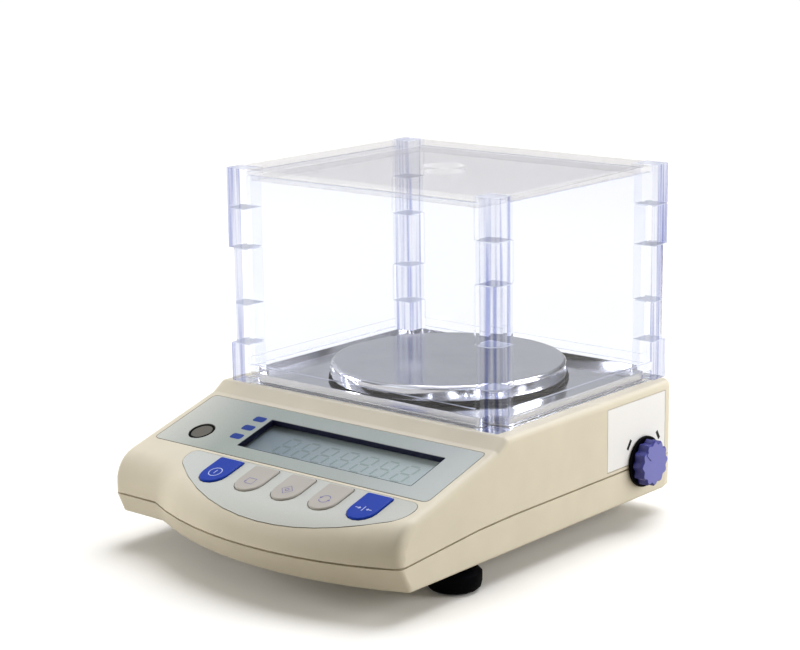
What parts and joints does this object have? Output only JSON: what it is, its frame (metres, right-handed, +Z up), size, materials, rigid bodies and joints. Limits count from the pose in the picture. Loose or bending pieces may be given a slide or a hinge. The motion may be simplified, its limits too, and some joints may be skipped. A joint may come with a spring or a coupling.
{
  "type": "electronic balance",
  "caption": "Bench-top precision balance with a square clear draft shield, round steel pan, sloping display console with keys, side calibration knob and levelling feet.",
  "frame": {"origin": "on the surface it stands on, at the middle of the whole object's footprint", "axes": "+X to the right as the user faces the console, +Y to the rear, +Z up"},
  "size_m": [0.1906, 0.2346, 0.1752],
  "materials": {
    "cream_plastic": "fine satin moulded cream plastic",
    "display_film": "pale grey-green satin film",
    "white_film": "plain white film",
    "clear_plastic": "clear moulded plastic with a faint violet-blue tint",
    "clear_lid": "clear plastic, slightly grey",
    "pane": "clear display pane",
    "lcd_grey": "grey-green liquid-crystal display",
    "key_blue": "satin blue",
    "key_beige": "satin grey-beige",
    "knob_violet": "satin violet-blue",
    "dark_plastic": "satin black plastic",
    "brushed_steel": "satin stainless steel",
    "plated_steel": "zinc-plated steel",
    "aluminium": "milled aluminium",
    "brass": "turned brass",
    "rubber": "black rubber",
    "grey_rubber": "grey silicone rubber",
    "circuit_board": "green circuit board",
    "grey_plastic": "grey technical plastic",
    "vial": "clear vial with pale yellow-green liquid"
  },
  "bodies": {
    "base": {"lower_case": "cream_plastic", "upper_case": "cream_plastic", "case_screw_rear_left": "plated_steel", "case_screw_rear_right": "plated_steel", "case_screw_front_left": "plated_steel", "case_screw_front_right": "plated_steel", "display_label": "display_film", "key_sheet": "display_film", "side_label": "white_film", "display_window": "pane", "lcd_panel": "lcd_grey", "display_board": "circuit_board", "keypad_mat": "grey_rubber", "level_housing": "dark_plastic", "level_vial": "vial", "shield_tray": "brushed_steel", "draft_ring": "dark_plastic", "pan_support": "aluminium", "pan_cushion": "rubber", "chassis_plate": "aluminium", "chassis_screw_front": "plated_steel", "chassis_screw_rear": "plated_steel", "load_cell": "aluminium", "force_sensor": "grey_plastic", "cell_bolt_front": "plated_steel", "cell_bolt_rear": "plated_steel", "weight_arm": "aluminium", "arm_bolt": "plated_steel", "shaft_bracket": "plated_steel", "main_board": "circuit_board", "power_inlet": "dark_plastic", "serial_connector": "plated_steel", "connector_nut_left": "plated_steel", "connector_nut_right": "plated_steel", "display_cable": "grey_plastic"},
    "shield": {"front_panel": "clear_plastic", "rear_panel": "clear_plastic", "left_panel": "clear_plastic", "right_panel": "clear_plastic"},
    "lid": {"shield_lid": "clear_lid"},
    "pan": {"weighing_pan": "brushed_steel"},
    "power": {"power_key": "key_blue"},
    "menu": {"menu_key": "key_beige"},
    "select": {"select_key": "key_beige"},
    "unit": {"unit_key": "key_beige"},
    "zero": {"zero_key": "key_blue"},
    "knob": {"cal_knob": "knob_violet", "knob_skirt": "dark_plastic", "cal_shaft": "plated_steel", "cal_cam": "grey_plastic"},
    "lifter": {"weight_lifter": "grey_plastic", "cal_weight": "brass"},
    "pad_front_left": {"foot_pad_front_left": "rubber"},
    "pad_front_right": {"foot_pad_front_right": "rubber"},
    "pad_rear_left": {"foot_pad_rear_left": "rubber"},
    "pad_rear_right": {"foot_pad_rear_right": "rubber"},
    "screw_front_left": {"foot_screw_front_left": "dark_plastic"},
    "screw_front_right": {"foot_screw_front_right": "dark_plastic"},
    "screw_rear_left": {"foot_screw_rear_left": "dark_plastic"},
    "screw_rear_right": {"foot_screw_rear_right": "dark_plastic"}
  },
  "joints": [
    {"name": "shield_lift", "type": "slide", "parent": "base", "child": "shield", "axis": [0, 0, 1], "range_m": [0, 0.12]},
    {"name": "lid_lift", "type": "slide", "parent": "shield", "child": "lid", "axis": [0, 0, 1], "range_m": [0, 0.06]},
    {"name": "pan_lift", "type": "slide", "parent": "base", "child": "pan", "axis": [0, 0, 1], "range_m": [0, 0.03]},
    {"name": "power_press", "type": "slide", "parent": "base", "child": "power", "axis": [0, 0.2857, -0.9583], "range_m": [0, 0.0006], "stiffness_N_per_m": 800, "springref_m": -0.0003},
    {"name": "menu_press", "type": "slide", "parent": "base", "child": "menu", "axis": [0, 0.2857, -0.9583], "range_m": [0, 0.0006], "stiffness_N_per_m": 800, "springref_m": -0.0003},
    {"name": "select_press", "type": "slide", "parent": "base", "child": "select", "axis": [0, 0.2857, -0.9583], "range_m": [0, 0.0006], "stiffness_N_per_m": 800, "springref_m": -0.0003},
    {"name": "unit_press", "type": "slide", "parent": "base", "child": "unit", "axis": [0, 0.2857, -0.9583], "range_m": [0, 0.0006], "stiffness_N_per_m": 800, "springref_m": -0.0003},
    {"name": "zero_press", "type": "slide", "parent": "base", "child": "zero", "axis": [0, 0.2857, -0.9583], "range_m": [0, 0.0006], "stiffness_N_per_m": 800, "springref_m": -0.0003},
    {"name": "knob_turn", "type": "hinge", "parent": "base", "child": "knob", "pos_m": [0.08735, 0.08245, 0.0317], "axis": [-1, 0, 0], "range_deg": [0, 94]},
    {"name": "weight_lower", "type": "slide", "parent": "base", "child": "lifter", "axis": [0, 0, 1], "range_m": [-0.0028, 0]},
    {"name": "level_front_left", "type": "slide", "parent": "base", "child": "pad_front_left", "axis": [0, 0, 1], "range_m": [-0.0034, 0.0018]},
    {"name": "level_front_right", "type": "slide", "parent": "base", "child": "pad_front_right", "axis": [0, 0, 1], "range_m": [-0.0034, 0.0018]},
    {"name": "level_rear_left", "type": "slide", "parent": "base", "child": "pad_rear_left", "axis": [0, 0, 1], "range_m": [-0.0034, 0.0018]},
    {"name": "level_rear_right", "type": "slide", "parent": "base", "child": "pad_rear_right", "axis": [0, 0, 1], "range_m": [-0.0034, 0.0018]},
    {"name": "turn_front_left", "type": "hinge", "parent": "pad_front_left", "child": "screw_front_left", "pos_m": [-0.08225, -0.04905, 0], "axis": [0, 0, 1], "range_deg": [-980, 520]},
    {"name": "turn_front_right", "type": "hinge", "parent": "pad_front_right", "child": "screw_front_right", "pos_m": [0.07435, -0.04905, 0], "axis": [0, 0, 1], "range_deg": [-980, 520]},
    {"name": "turn_rear_left", "type": "hinge", "parent": "pad_rear_left", "child": "screw_rear_left", "pos_m": [-0.05695, 0.08615, 0], "axis": [0, 0, 1], "range_deg": [-980, 520]},
    {"name": "turn_rear_right", "type": "hinge", "parent": "pad_rear_right", "child": "screw_rear_right", "pos_m": [0.04905, 0.08615, 0], "axis": [0, 0, 1], "range_deg": [-980, 520]}
  ],
  "couplings": [
    {"joint": "knob_turn", "follows": "weight_lower", "rad_per_m": -585.9},
    {"joint": "turn_front_left", "follows": "level_front_left", "rad_per_m": 5026.5},
    {"joint": "turn_front_right", "follows": "level_front_right", "rad_per_m": 5026.5},
    {"joint": "turn_rear_left", "follows": "level_rear_left", "rad_per_m": 5026.5},
    {"joint": "turn_rear_right", "follows": "level_rear_right", "rad_per_m": 5026.5}
  ]
}
